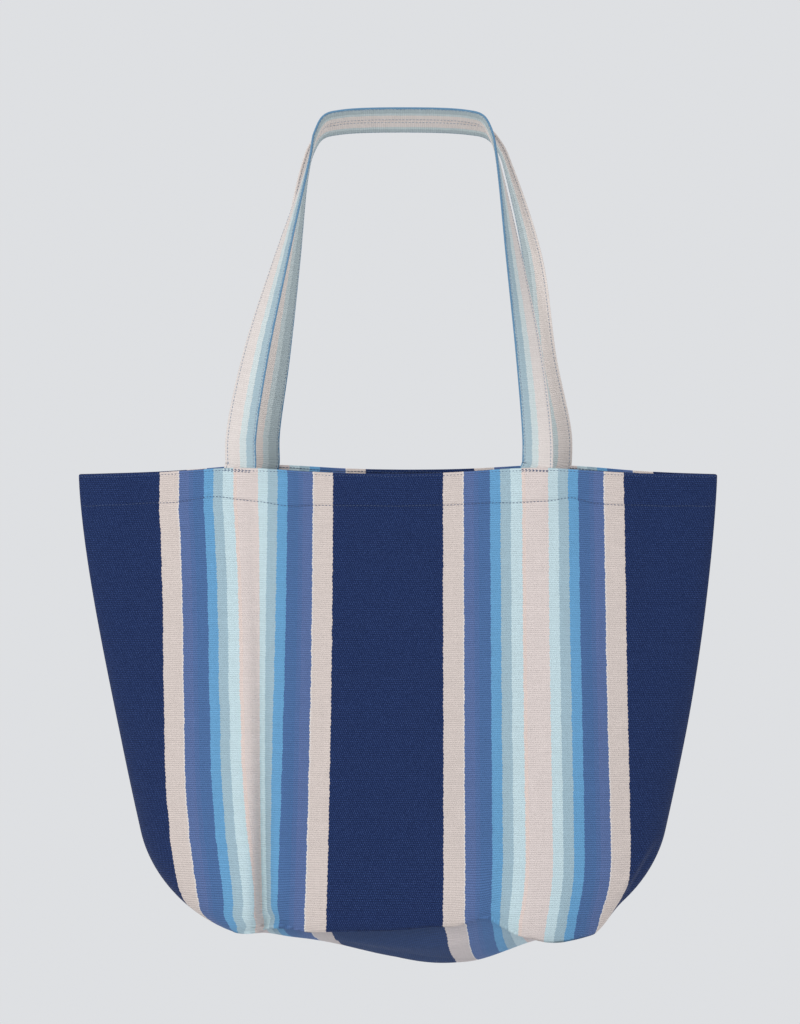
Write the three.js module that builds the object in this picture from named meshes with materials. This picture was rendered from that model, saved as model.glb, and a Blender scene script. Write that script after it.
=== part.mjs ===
// A striped, handwoven cotton shopper hanging by its two flat handles.
// Millimetres, +Z up, the front faces -Y. The origin lies between the two handles, on the
// line where their crowns rest on a pair of pegs.
import * as THREE from 'three';

// ---- driving dimensions -------------------------------------------------------------
const MOUTH_WIDTH = 537; // seam to seam across the mouth
const MOUTH_DEPTH = 56; // front to back at the middle of the mouth, as it hangs
const BODY_HEIGHT = 385; // mouth edge to the fold under each panel
const LOWER_WIDTH = 400; // width the sides would draw in to at the bottom without boxed corners
const SIDE_BEND = 1.42; // 1 for straight sides, more for sides that draw in later
const BASE_DEPTH = 104; // front fold to back fold, as it hangs
const BASE_SAG = 26; // how far the empty base hangs below the two folds
const SWELL_END = 0.85; // share of the height over which the bag swells to the base's depth
const MOUTH_ROUNDNESS = 1.6; // 2 for an ellipse, less for a lens, more for a rounded box
const BASE_ROUNDNESS = 2.4;
const BASE_REACH = 0.9; // share of the bottom outline that the base's cloth covers
const CORNER_RADIUS = 90; // roundness of the boxed corners, seen from the front
const CORNER_DROP = 84; // height of the boxed corners
const CLOTH = 1.2; // body cloth thickness
const HEM = 27; // depth of the hem turned in around the mouth
const SEAM_ALLOWANCE = 10; // width of the turned-in edges at the side and corner seams
const SIDE_SEAM = [0.02, 0.84]; // top and bottom of a side seam, as shares of the panel
const CORNER_SEAM = 0.915; // height of the corner seams, as a share of the panel
const CORNER_REACH = 0.22; // how far round the panel a corner seam runs
const CORNER_SPLAY = 0.35; // how far its turned-in edge leans to the bag's middle
const HANDLE_WIDTH = 26;
const HANDLE_THICKNESS = 2.6; // folded cloth, several layers
const HANDLE_SPACING = 248; // between the middles of one handle's two legs
const HANDLE_SHIFT = 9; // front handle sits this far to -X, back handle this far to +X
const HANDLE_DROP = 294; // from the pegs down to the mouth's corners
const HANDLE_END = 24; // length of each handle end, sewn to the inside of the hem
const PEG_SPACING = 121;
const CROWN_TILT = THREE.MathUtils.degToRad(16); // the pegs slope down towards the wall
const CROWN_ARCH = 3; // rise of the stiff strap between the pegs
const LEG_BOWS = [[0.36, 2.5], [0.7, 1.5]]; // share of the way up a leg, bow outwards
// How a leg wraps its peg: out from the peg's middle, up from where the crown rests.
const PEG_WRAP = [[20.5, -35], [15.5, -15], [7, -1.5], [-6, 2.3]];
const TURN_DONE = 0.36; // share of the strap's length by which each leg has turned edge-on
const MOUTH_LIFT = 5; // how far each leg pulls the mouth edge up
const LIFT_REACH = 60; // how far along the mouth that pull spreads
const BACK_RISE = 4; // the back of the mouth hangs this much higher
const THREAD = 1; // width of a row of stitches
const THREAD_HEIGHT = 0.6; // how far it stands out
const STITCH_INSET = 2.2; // from an edge to its row of topstitching
const ROW_REACH = 0.985; // share of a panel's width that its rows of stitches cover
const TACK_WIDTH = 24; // reinforcing stitches over each leg

// ---- clearances -----------------------------------------------------------------------
const GAP = 0.3; // between pieces that touch
const HEM_GAP = 0.6; // between a panel and the hem turned in on it
const SEAM_GAP = 3; // between a turned-in seam and the curved cloth around it
const FOOT_GAP = 1; // between a handle's moving part and the mouth's edge
const CROWN_GAP = 0.6; // between the two handles' crowns
const SIDE_GAP = 1.6; // between the front and back cloth along a side seam
const HEM_END_GAP = 5; // between the hem's ends and the turned-in side seams

const FRONT = -1;
const BACK = 1;
const Z_CORNER = -HANDLE_DROP;

const colours = {
  navy: { color: 0x213a66, roughness: 0.9 },
  slate: { color: 0x506a95, roughness: 0.9 },
  pale: { color: 0xcdd2cf, roughness: 0.88 },
  sky: { color: 0x9bb5c1, roughness: 0.88 },
  thread: { color: 0x39465e, roughness: 0.7 },
  overlock: { color: 0xd8d4cc, roughness: 0.8 },
};
const material = Object.fromEntries(
  Object.entries(colours).map(([name, look]) => [
    name,
    new THREE.MeshStandardMaterial({ ...look, metalness: 0, name }),
  ]),
);
const bag = new THREE.Group();

// A closed solid: a box of cols x rows x 1 cells, each corner moved to place(a, b, c),
// with a along the columns, b along the rows and c through the thickness, all from 0 to 1.
function bentBox(cols, rows, place) {
  const box = new THREE.BoxGeometry(1, 1, 1, cols, rows, 1);
  const corner = box.attributes.position;
  for (let i = 0; i < corner.count; i++) {
    const a = corner.getX(i) + 0.5;
    const b = corner.getY(i) + 0.5;
    const c = corner.getZ(i) + 0.5;
    corner.setXYZ(i, ...place(a, b, c).toArray());
  }
  if (signedVolume(box) < 0) {
    box.index.array.reverse();
  }
  box.computeVertexNormals();
  return box;
}

function signedVolume(geometry) {
  const corner = geometry.attributes.position;
  const index = geometry.index.array;
  const point = (k) => new THREE.Vector3().fromBufferAttribute(corner, index[k]);
  let sum = 0;
  for (let k = 0; k < index.length; k += 3) {
    sum += point(k).dot(point(k + 1).cross(point(k + 2)));
  }
  return sum / 6;
}

function add(name, geometry, look) {
  const mesh = new THREE.Mesh(geometry, material[look]);
  mesh.name = name;
  bag.add(mesh);
}

// ---- the body's surface ---------------------------------------------------------------
// The level outline at t (0 at the mouth, 1 at the bottom fold): a lens at the mouth that
// swells to a rounded box lower down, |x / half|^power + |y / deep|^power = 1.
function section(t) {
  const taper = ((MOUTH_WIDTH - LOWER_WIDTH) / 2) * t ** SIDE_BEND;
  const intoCorner = Math.max(0, CORNER_DROP - (1 - t) * BODY_HEIGHT);
  const rounding = CORNER_RADIUS - Math.sqrt(CORNER_RADIUS ** 2 - intoCorner ** 2);
  const swell = Math.sin((Math.PI / 2) * Math.min(1, t / SWELL_END));
  return {
    half: MOUTH_WIDTH / 2 - taper - rounding,
    deep: THREE.MathUtils.lerp(MOUTH_DEPTH / 2, BASE_DEPTH / 2, swell),
    power: THREE.MathUtils.lerp(MOUTH_ROUNDNESS, BASE_ROUNDNESS, t),
  };
}

const footX = (side, leg) => side * HANDLE_SHIFT + (leg * HANDLE_SPACING) / 2;

function mouthEdge(side, x) {
  const pull = [-1, 1].map((leg) => Math.exp(-(((x - footX(side, leg)) / LIFT_REACH) ** 2)));
  const rise = side === BACK ? BACK_RISE * (1 - Math.abs((2 * x) / MOUTH_WIDTH) ** 2) : 0;
  return Z_CORNER + rise + MOUTH_LIFT * (pull[0] + pull[1]);
}

function onSurface(side, s, t) {
  const { half, deep, power } = section(t);
  const turn = (Math.PI / 2) * s;
  const x = half * Math.sign(s) * Math.abs(Math.sin(turn)) ** (2 / power);
  const out = (deep - SIDE_GAP / 2) * Math.abs(Math.cos(turn)) ** (2 / power);
  const z = THREE.MathUtils.lerp(mouthEdge(side, x), Z_CORNER - BODY_HEIGHT, t);
  return new THREE.Vector3(x, side * (SIDE_GAP / 2 + out), z);
}

// A point on a panel: s from -1 at the left seam to 1 at the right seam, t down from the
// mouth, and out the distance off the cloth's middle, outwards.
function wall(side, s, t, out = 0) {
  const step = 0.004;
  const at = onSurface(side, s, t);
  const across = onSurface(side, Math.min(1, s + step), t);
  across.sub(onSurface(side, Math.max(-1, s - step), t));
  const down = onSurface(side, s, Math.min(1, t + step));
  down.sub(onSurface(side, s, Math.max(0, t - step)));
  const normal = across.cross(down).normalize().multiplyScalar(side);
  return at.addScaledVector(normal, out);
}

function acrossAt(x, t) {
  const { half, power } = section(t);
  const share = Math.min(1, Math.abs(x) / half);
  return (Math.sign(x) * Math.asin(share ** (power / 2)) * 2) / Math.PI;
}

const between = (low, high, share) => low + (high - low) * share;

// ---- body cloth -------------------------------------------------------------------------
const PANEL_COLS = 26;
const PANEL_ROWS = 16;
const BASE_ROWS = 8;

function panel(side) {
  return bentBox(PANEL_COLS, PANEL_ROWS, (a, b, c) =>
    wall(side, between(-1, 1, a), 1 - (1 - b) ** 1.3, between(-CLOTH / 2, CLOTH / 2, c)),
  );
}

// The base hangs from the two bottom folds, lowest along its middle.
function base() {
  const { half, deep, power } = section(1);
  return bentBox(PANEL_COLS, BASE_ROWS, (a, b, c) => {
    const turn = (Math.PI / 2) * between(-BASE_REACH, BASE_REACH, a);
    const x = half * Math.sign(turn) * Math.abs(Math.sin(turn)) ** (2 / power);
    const q = between(-1, 1, b);
    const ends = 1 - Math.abs(x / half) ** 3;
    const y = q * deep * Math.cos(turn) ** (2 / power);
    const sag = CLOTH + GAP + BASE_SAG * ends * (1 - q * q);
    return new THREE.Vector3(x, y, Z_CORNER - BODY_HEIGHT - sag + between(0, CLOTH, c));
  });
}

// ---- hem and handle ends -------------------------------------------------------------------
// Insets are measured inwards from the middle of a panel's cloth.
const HEM_INSET = CLOTH / 2 + HEM_GAP;
const HANDLE_INSET = HEM_INSET + CLOTH + GAP;

function hem(side) {
  const reach = acrossAt(MOUTH_WIDTH / 2 - SEAM_ALLOWANCE - HEM_END_GAP, 0);
  return bentBox(48, 2, (a, b, c) => {
    const t = (HEM / BODY_HEIGHT) * b;
    return wall(side, between(-reach, reach, a), t, -HEM_INSET - CLOTH * c);
  });
}

function handleEnd(side, leg) {
  const middle = footX(side, leg);
  return bentBox(4, 3, (a, b, c) => {
    const x = middle + HANDLE_WIDTH * (a - 0.5);
    const t = (HANDLE_END / BODY_HEIGHT) * b;
    return wall(side, acrossAt(x, t), t, -HANDLE_INSET - HANDLE_THICKNESS * c);
  });
}

// ---- seams ------------------------------------------------------------------------------------
// The turned-in edges of a side seam, whipped together inside the bag.
function sideSeam(leg) {
  const outer = SIDE_GAP + CLOTH;
  return bentBox(1, 20, (a, b, c) => {
    const t = between(...SIDE_SEAM, b);
    const x = leg * (section(t).half - outer - SEAM_ALLOWANCE * a);
    const z = between(mouthEdge(FRONT, x), Z_CORNER - BODY_HEIGHT, t);
    return new THREE.Vector3(x, CLOTH * (c - 0.5), z);
  });
}

// The seam across a boxed corner, turned in the same way, from the front fold to the back.
function cornerSeam(leg) {
  return bentBox(14, 1, (a, b, c) => {
    const along = between(-1, 1, a);
    const side = along < 0 ? FRONT : BACK;
    const t = CORNER_SEAM + (CLOTH / BODY_HEIGHT) * (c - 0.5);
    const inset = CLOTH + SEAM_GAP + SEAM_ALLOWANCE * b;
    const at = wall(side, leg * (1 - CORNER_REACH * Math.abs(along)), t);
    const inwards = new THREE.Vector3(-leg, -CORNER_SPLAY * along, 0).normalize();
    return at.addScaledVector(inwards, inset);
  });
}

// ---- rows of stitches on the body ----------------------------------------------------------------
function mouthStitches(side, depth) {
  return bentBox(44, 1, (a, b, c) => {
    const t = (depth + THREAD * (b - 0.5)) / BODY_HEIGHT;
    return wall(side, between(-ROW_REACH, ROW_REACH, a), t, CLOTH / 2 + GAP + THREAD_HEIGHT * c);
  });
}

// A short doubled row over each leg, between the edge stitching and the mouth's edge.
function tack(side, leg) {
  return bentBox(4, 1, (a, b, c) => {
    const x = footX(side, leg) + TACK_WIDTH * (a - 0.5);
    const t = (STITCH_INSET + THREAD * (b + 1)) / BODY_HEIGHT;
    return wall(side, acrossAt(x, t), t, CLOTH / 2 + GAP + THREAD_HEIGHT * c);
  });
}

// ---- handles ---------------------------------------------------------------------------------------
const STRAP_STEPS = 72;

function handlePath(side) {
  const y = (side * (HANDLE_WIDTH + CROWN_GAP)) / 2;
  const z = -y * Math.tan(CROWN_TILT);
  const peg = PEG_SPACING / 2;
  const leg = (dir) => {
    const x = footX(side, dir);
    const tuck = wall(side, acrossAt(x, 0), 0, -HANDLE_INSET - HANDLE_THICKNESS / 2);
    const foot = new THREE.Vector3(x, tuck.y, mouthEdge(side, x) + FOOT_GAP);
    const wrap = PEG_WRAP.map(([out, up]) => new THREE.Vector3(dir * (peg + out), y, z + up));
    const bows = LEG_BOWS.map(([share, bow]) => {
      const at = foot.clone().lerp(wrap[0], share);
      return at.add(new THREE.Vector3(dir * bow, 0, 0));
    });
    return [foot, foot.clone().add(new THREE.Vector3(0, 0, HANDLE_END)), ...bows, ...wrap];
  };
  const crown = new THREE.Vector3(0, y, z + HANDLE_THICKNESS / 2 + CROWN_ARCH);
  const points = [...leg(-1), crown, ...leg(1).reverse()];
  return new THREE.CatmullRomCurve3(points, false, 'centripetal');
}

// The strap's own directions at u along it: the width points to its inner edge on the
// legs, and turns a quarter to face the pegs' tips (front) or the wall (back) at the crown.
function strapFrame(side, path, u) {
  const at = path.getPointAt(u);
  const tangent = path.getTangentAt(u);
  const fromEnd = Math.min(u, 1 - u);
  const turned = (Math.PI / 2) * Math.min(1, fromEnd / TURN_DONE);
  const inner = u < 0.5 ? 1 : -1;
  const width = new THREE.Vector3(
    inner * Math.cos(turned),
    side * Math.sin(turned) * Math.cos(CROWN_TILT),
    -side * Math.sin(turned) * Math.sin(CROWN_TILT),
  );
  width.addScaledVector(tangent, -width.dot(tangent)).normalize();
  const face = width.clone().cross(tangent).multiplyScalar(-side);
  return { at, width, face };
}

// A band laid along a handle: from low to high across its width, and from under to over
// along its face, measured from the strap's middle.
function alongHandle(side, low, high, under, over) {
  const path = handlePath(side);
  path.arcLengthDivisions = 800;
  return bentBox(1, STRAP_STEPS + 1, (a, b, c) => {
    const { at, width, face } = strapFrame(side, path, b);
    at.addScaledVector(width, between(low, high, a));
    return at.addScaledVector(face, between(under, over, c));
  });
}

function strap(side) {
  const half = HANDLE_WIDTH / 2;
  return alongHandle(side, -half, half, -HANDLE_THICKNESS / 2, HANDLE_THICKNESS / 2);
}

function strapStitches(side, edge) {
  const middle = edge * (HANDLE_WIDTH / 2 - STITCH_INSET);
  const under = HANDLE_THICKNESS / 2 + GAP;
  return alongHandle(side, middle - THREAD / 2, middle + THREAD / 2, under, under + THREAD_HEIGHT);
}

// ---- the bag --------------------------------------------------------------------------------------------
for (const [side, name] of [[FRONT, 'front'], [BACK, 'back']]) {
  add(`${name}_panel`, panel(side), 'navy');
  add(`${name}_hem`, hem(side), 'slate');
  add(`${name}_handle`, strap(side), 'pale');
  add(`${name}_handle_inner_stitching`, strapStitches(side, 1), 'thread');
  add(`${name}_handle_outer_stitching`, strapStitches(side, -1), 'thread');
  add(`${name}_mouth_stitching`, mouthStitches(side, STITCH_INSET), 'thread');
  add(`${name}_hem_stitching`, mouthStitches(side, HEM), 'thread');
  for (const [leg, place] of [[-1, 'left'], [1, 'right']]) {
    add(`${name}_${place}_handle_end`, handleEnd(side, leg), 'sky');
    add(`${name}_${place}_tack`, tack(side, leg), 'thread');
  }
}
add('base_panel', base(), 'navy');
for (const [leg, place] of [[-1, 'left'], [1, 'right']]) {
  add(`${place}_side_seam`, sideSeam(leg), 'overlock');
  add(`${place}_corner_seam`, cornerSeam(leg), 'overlock');
}

export default bag;
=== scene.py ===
"""A striped, handwoven cotton shopper hanging empty by its two flat handles.

Shapes are worked out in millimetres and turned into metres as each mesh is made.
The front faces -Y, and the pegs that the handles hang from are at the origin.
"""
import math

import bmesh
import bpy
import numpy as np
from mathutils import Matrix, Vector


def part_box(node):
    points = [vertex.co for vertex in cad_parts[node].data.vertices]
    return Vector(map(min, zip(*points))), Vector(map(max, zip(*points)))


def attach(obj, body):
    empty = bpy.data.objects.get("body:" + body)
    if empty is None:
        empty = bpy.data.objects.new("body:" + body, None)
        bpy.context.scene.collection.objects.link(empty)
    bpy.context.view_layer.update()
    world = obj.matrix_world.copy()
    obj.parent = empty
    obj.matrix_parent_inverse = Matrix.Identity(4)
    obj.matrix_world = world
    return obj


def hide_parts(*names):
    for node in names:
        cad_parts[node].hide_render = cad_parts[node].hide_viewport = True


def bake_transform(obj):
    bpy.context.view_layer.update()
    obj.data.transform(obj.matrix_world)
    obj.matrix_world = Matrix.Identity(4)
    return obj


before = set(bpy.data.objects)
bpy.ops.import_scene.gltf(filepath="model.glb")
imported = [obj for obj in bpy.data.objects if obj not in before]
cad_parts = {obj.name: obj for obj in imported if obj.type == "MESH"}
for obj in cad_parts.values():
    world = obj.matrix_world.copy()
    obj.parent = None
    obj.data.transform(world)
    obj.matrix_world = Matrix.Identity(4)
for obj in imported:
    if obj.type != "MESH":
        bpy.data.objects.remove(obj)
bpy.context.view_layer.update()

MM = 0.001
FRONT, BACK = -1, 1
SIDES = {FRONT: "front", BACK: "back"}
LEGS = {-1: "left", 1: "right"}

# ---- the bag's shape, as the CAD model has it ----------------------------------------
CLOTH, CAD_CLOTH = 1.1, 1.2  # the cloth's thickness here, and in the CAD model
BODY_HEIGHT = 385.0
LOWER_WIDTH = 400.0
SIDE_BEND = 1.42  # how late the sides draw in towards the bottom
MOUTH_DEPTH, BASE_DEPTH = 56.0, 104.0
FULL_DEPTH_AT = 0.85  # how far down a panel the bag is as deep as its base
MOUTH_POWER, POWER_GAIN = 1.6, 0.8  # the outline's roundness at the mouth, and its gain by the fold
CORNER_RADIUS, CORNER_DROP = 90.0, 84.0
CORNER_SEAM = 0.915  # how far down a panel the corner seams are
SIDE_GAP = 1.6
MOUTH_LIFT, LIFT_REACH = 5.0, 60.0  # how the handles pull the mouth's edge up
BACK_RISE = 4.0
HEM = 27.0
HEM_FREE = 5.0  # cloth of the hem below its stitch row
HEM_INSET = 1.8  # middle of the panel's cloth to the middle of the hem's
HEM_SHORT = 7.0  # how far from the side seams the hem's inside ends
TURN_DEPTH = 1.5  # where the cloth starts to turn over at the mouth
SEAM_ALLOWANCE = 10.0
HANDLE_WIDTH, STRAP_THICK = 26.0, 2.5
HANDLE_SPACING, HANDLE_SHIFT = 248.0, 9.0
HANDLE_END, HANDLE_INSET = 24.0, 2.6
FOOT_RISE = 1.0  # where a leg starts, above the mouth's edge
PEG_SPACING = 121.0
CROWN_TILT = math.radians(16)
CROWN_GAP, CROWN_ARCH, CAD_STRAP = 0.6, 3.0, 2.6
TURN_DONE = 0.39  # share of the strap's length by which each leg has turned edge-on
PANEL_LOW, PANEL_HIGH = (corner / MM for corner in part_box("front_panel"))
HALF_MOUTH = PANEL_HIGH.x - CAD_CLOTH / 2
Z_FOLD = PANEL_LOW.z + CAD_CLOTH / 2
Z_CORNER = Z_FOLD + BODY_HEIGHT

# ---- folds and creases ---------------------------------------------------------------
PLEAT_TOP, PLEAT_BOTTOM = -120.0, -116.0  # where the front's pleat runs
PLEAT_WIDTH = 6.5
SHOULDER_AWAY, SHOULDER_REACH, SHOULDER_SHARE = 17.0, 12.0, 0.3  # the rise beside the pleat
# Down the panel, how deep the pleat is, and how much cloth is folded away in it.
PLEAT_DEPTH = ([0.0, 0.2, 0.45, 0.7, 0.93, 1.0], [0.8, 2.5, 6.0, 9.5, 14.0, 13.0])
PLEAT_HIDES = ([0.0, 0.08, 0.25, 0.7, 0.87, 1.0], [0.0, 0.5, 5.0, 9.0, 13.0, 14.0])
# Lifts of the front's bottom fold: place, reach and height.
FOLD_LIFTS = [(-20, 110, 6.0), (-100, 17, 7.0), (71, 18, 14.0), (35, 30, 5.0), (128, 26, -7.0)]
FOLD_LIFTED = 0.8  # how far down a panel its bottom fold's lifts start to show
BACK_LIFT, BACK_LIFT_WAVE = 2.5, 40.0
SAG_AT, SAG_DEPTH, SAG_LEFT, SAG_RIGHT = 55.0, 26.0, 108.0, 70.0
BASE_DROP = 1.0
FOLD_LIP, LIP_REACH = 9.0, 8.0  # how the base dips just inside the folds
FOLD_SHARE = 0.2  # how far into the base the folds' lifts reach
SHEEN_PAINT_REACH = 0.1  # how soon behind a fold the base's painted sheen is full
# Creases across the base: place from front -1 to back 1, slant, reach and height.
BASE_CREASES = [(-0.62, 900, 0.08, 2.2), (-0.34, -700, 0.09, -2.4), (-0.12, 500, 0.07, 1.5)]
CREASES_AT, CREASES_REACH = 20.0, 70.0
LEAN, LEAN_DONE = (-1.7, 2.5), 0.6  # sideways push at the mouth and lower down, and by where
# The front's crease over its right-hand corner: from and to (across, down), and its step.
CREASE_FROM, CREASE_TO, CREASE_STEP = (213.0, 0.78), (174.0, 0.955), 9.0
CREASE_RIDGE = 1.6
CORNER_HANG, HANG_FROM = 20.0, 0.93  # how far the right bottom corner hangs out, and from where
HANG_ACROSS = 0.8  # share of the half width beyond which it does
# Where the hem's stitch row wanders up from its straight line: place, reach and height.
HEM_WANDER = [(-215, 30, 1.5), (-158, 22, 3.6), (-92, 18, -3.0), (95, 20, -1.5), (144, 12, 3.2)]
# Soft hollows and ridges on a panel: side, place across and down, reach across and down, height.
SWELLS = [
    (FRONT, -133, 0.00, 34, 0.16, 3.0),
    (FRONT, 115, 0.00, 34, 0.16, 3.0),
    (FRONT, -10, 0.02, 75, 0.16, -3.5),
    (FRONT, 205, 0.20, 26, 0.30, -2.5),
    (FRONT, -215, 0.22, 26, 0.30, -2.5),
    (FRONT, 84, 0.85, 14, 0.30, -3.0),
    (FRONT, 150, 0.60, 30, 0.35, 2.0),
    (FRONT, 30, 0.95, 40, 0.14, 3.0),
    (FRONT, -60, 0.80, 26, 0.25, 2.5),
    (FRONT, -109, 0.985, 6, 0.018, -10.0),
    (FRONT, -100, 0.13, 14, 0.07, 1.6),
    (FRONT, -72, 0.30, 13, 0.30, -3.2),
    (FRONT, 168, 0.45, 16, 0.35, -2.2),
    (FRONT, -165, 0.16, 10, 0.12, -1.8),
    (FRONT, 165, 0.12, 12, 0.10, -1.6),
    (BACK, 133, 0.00, 34, 0.16, 3.0),
    (BACK, -115, 0.00, 34, 0.16, 3.0),
    (BACK, 10, 0.03, 75, 0.18, -3.0),
    (BACK, 122, 0.75, 13, 0.35, -6.0),
    (BACK, -90, 0.85, 15, 0.30, -5.0),
    (BACK, 20, 0.60, 50, 0.35, 2.5),
]
WAVE_TOP, WAVE_GAIN, FINE_WAVE = 0.35, 0.75, 0.16  # heights of the cloth's waves
HEM_PROUD, HEM_SUNK, MOUTH_SUNK, CORNER_SUNK = 0.8, 0.8, 0.25, 1.6
CORNER_MARK = 0.72  # share of the half width beyond which the corner seam shows
PRINT_HEIGHT = 0.9  # how far the sewn-in handle ends push the hem out
# The stripes: gathered at the mouth left of them, and spread from one place lower down.
GATHER, GATHER_REACH, SPREAD, SPREAD_FROM = 6.0, 150.0, 0.06, 35.0

# ---- rows and columns of the body's mesh ---------------------------------------------
LINE_POINTS = 1601
COLUMN_ENDS = np.array([0.0, 0.3, 0.8, 1.5, 2.5])
COLUMNS, COLUMNS_FROM = 210, 4.0
BASE_ROWS = 41
ROLL = [(0.9, 0.9), (2.0, 0.8)]  # how the cloth's side edges turn into the side seams

# ---- stitches ------------------------------------------------------------------------
STITCH, STITCH_PITCH, THREAD = 2.1, 2.9, 0.28
TACK_THREAD, TACK_REACH, TACK_SLANT = 0.38, 12.0, 1.2
STRAP_THREAD = 0.27
STRAP_PRESSED = 0.32  # share by which a strap is thinner at its stitches
STRAP_ROW_HEIGHT = 0.72  # share of the strap's half thickness at which its stitches lie
MOUTH_ROW, STRAP_ROW = 2.3, 10.8  # rows from the mouth's edge, and from a strap's middle
ROW_ENDS, ROW_POINTS = 0.985, 700

# ---- seam allowances inside ----------------------------------------------------------
SIDE_SEAM_FROM, SIDE_SEAM_TO = 0.025, 0.895
SEAM_WAVE = 0.7
CORNER_REACH, CORNER_TURN, CORNER_INSET = 0.22, 0.35, 3.0
OVERLOCK_PITCH, OVERLOCK_LEAN, OVERLOCK_LENGTH, OVERLOCK_THREAD = 1.7, 0.9, 6.2, 0.3
CROSSING = 4.0  # half the bare length where a corner's overlocking crosses the side seam

# ---- the weave -----------------------------------------------------------------------
RIB, WARP = 1.73, 1.5  # from one weft rib to the next, and from one warp yarn to the next
STRIPES_FROM = -56.0
RAGGED_STEP, RAGGED_WANDER, RAGGED_BACK = 0.3, 1.6, -0.98  # how a stripe's edge runs
# how much paler and greyer the base is painted, as its sheen
BASE_SHEEN_PAINT = 0.16
BODY_BUMP, STRAP_BUMP = 0.0004, 0.0002  # how deep the weave's fine relief is
YARN_TONE, LINE_TONE, SPECKLE_TONE, BASE_TONE = 0.15, 0.10, 0.08, 0.835
SLUB_LEVEL, SLUB_TONE = 0.76, -0.45  # the rarer the slubs, the higher; and how dark they are
SHINE, CLOTH_ROUGH, CLOTH_SHEEN = 0.12, 0.92, 0.05
# How strongly the weave, with its painted shade between the ribs, shows in a stripe; not at all in
# the others.
WEAVE_SHOWS = {"navy": 1.0, "heather": 0.85, "heather_slate": 0.85, "slate": 0.8, "sky": 0.25}
BACK_SHIFT = 27.0  # how far the back's stripes stand to +X of the front's
# Each stripe's colour and width, from left to right.
STRIPES = [
    ("navy", 91.0), ("white", 0.9), ("cream", 15.5), ("white", 0.9), ("heather", 9.3),
    ("heather_slate", 3.5), ("slate", 9.4), ("sky", 9.2), ("sage", 8.6), ("aqua", 9.0),
    ("peach", 3.0), ("blush", 19.5), ("aqua", 8.0), ("sage", 8.6), ("sky", 9.2), ("slate", 9.4),
    ("heather_slate", 3.5), ("heather", 9.3), ("white", 0.9), ("cream", 15.5), ("white", 0.9),
]
STRAP_FACE = [("edge", 1.1), ("sky_sage", 6.9), ("dull_aqua", 5.5), ("dull_blush", 12.5)]
# The reverse: its own stripes, painted paler as light bounced up onto its downward faces.
STRAP_BACK = [("edge", 1.0), ("grey_green", 8.5), ("dull_aqua", 4.5), ("reverse_blush", 12.0)]
SRGB = {
    "navy": (20, 37, 78), "fleck_navy": (66, 88, 140), "white": (219, 212, 208),
    "cream": (207, 195, 189), "heather": (95, 116, 163), "slate": (79, 113, 161),
    "sky": (104, 160, 202), "sage": (157, 182, 194), "aqua": (191, 212, 218),
    "peach": (218, 201, 194), "blush": (214, 202, 198), "edge": (98, 136, 166),
    "sky_sage": (160, 181, 190), "grey_green": (174, 187, 190), "dull_aqua": (197, 208, 209),
    "dull_blush": (213, 205, 201), "reverse_blush": (224, 214, 208),
    # the base's tint: a paler, greyer navy painted on as its sheen
    "heather_slate": (86, 114, 162), "painted_sheen": (104, 132, 172), "thread": (74, 88, 118),
    "strap_thread": (142, 156, 174), "overlock": (206, 202, 194), "floor": (232, 233, 234),
}


# ---- the cloth's surface -------------------------------------------------------------
def section(t):
    """Half width, half depth and roundness of the level outline at t, 0 mouth to 1 fold."""
    taper = (HALF_MOUTH - LOWER_WIDTH / 2) * t ** SIDE_BEND
    into_corner = np.maximum(0, CORNER_DROP - (1 - t) * BODY_HEIGHT)
    rounding = CORNER_RADIUS - np.sqrt(CORNER_RADIUS ** 2 - into_corner ** 2)
    swell = np.sin(np.pi / 2 * np.minimum(1, t / FULL_DEPTH_AT))
    deep = (MOUTH_DEPTH + (BASE_DEPTH - MOUTH_DEPTH) * swell) / 2
    return HALF_MOUTH - taper - rounding, deep, MOUTH_POWER + POWER_GAIN * t


def bell(distance, reach):
    """1 at no distance, falling to nothing a few reaches away."""
    return np.exp(-((distance / reach) ** 2))


def smooth(value):
    """From 0 to 1 with soft ends, as value goes from 0 to 1."""
    value = np.clip(value, 0, 1)
    return value * value * (3 - 2 * value)


def foot_x(side, leg):
    """Where a leg of a handle meets the mouth."""
    return side * HANDLE_SHIFT + leg * HANDLE_SPACING / 2


def mouth_edge(side, x):
    """The height of the mouth's edge, pulled up at the handles."""
    pull = sum(bell(x - foot_x(side, leg), LIFT_REACH) for leg in LEGS)
    rise = BACK_RISE * (1 - (x / HALF_MOUTH) ** 2) if side == BACK else 0
    return Z_CORNER + rise + MOUTH_LIFT * pull


def pleat(x, t):
    """The front's pleat, with the soft shoulders on both sides of it."""
    place = x - (PLEAT_TOP + (PLEAT_BOTTOM - PLEAT_TOP) * t)
    depth = np.interp(t, *PLEAT_DEPTH)
    shoulders = (bell(place + SHOULDER_AWAY, SHOULDER_REACH)
                 + bell(place - SHOULDER_AWAY, SHOULDER_REACH))
    return depth * (SHOULDER_SHARE * shoulders - bell(place, PLEAT_WIDTH))


def undulation(side, x, t):
    """Slow waves of hanging cloth, stronger towards the bottom, and fine ones over them."""
    down = t * BODY_HEIGHT
    waves = np.sin(x / 23 + 0.9 * side + down / 160) * np.sin(down / 70 + side)
    fine = np.sin(x / 5.3 + 2 * np.sin(down / 31)) * np.sin(down / 17 + x / 41)
    slow = 1.0 * waves + 0.5 * np.sin(x / 11 - down / 55 + 2 * side)
    return (WAVE_TOP + WAVE_GAIN * t) * slow + FINE_WAVE * fine


def hem_line(side, x):
    """How far down the hem's stitch row runs."""
    rises = (height * bell(-side * x - place, reach) for place, reach, height in HEM_WANDER)
    return HEM - sum(rises)


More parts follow.
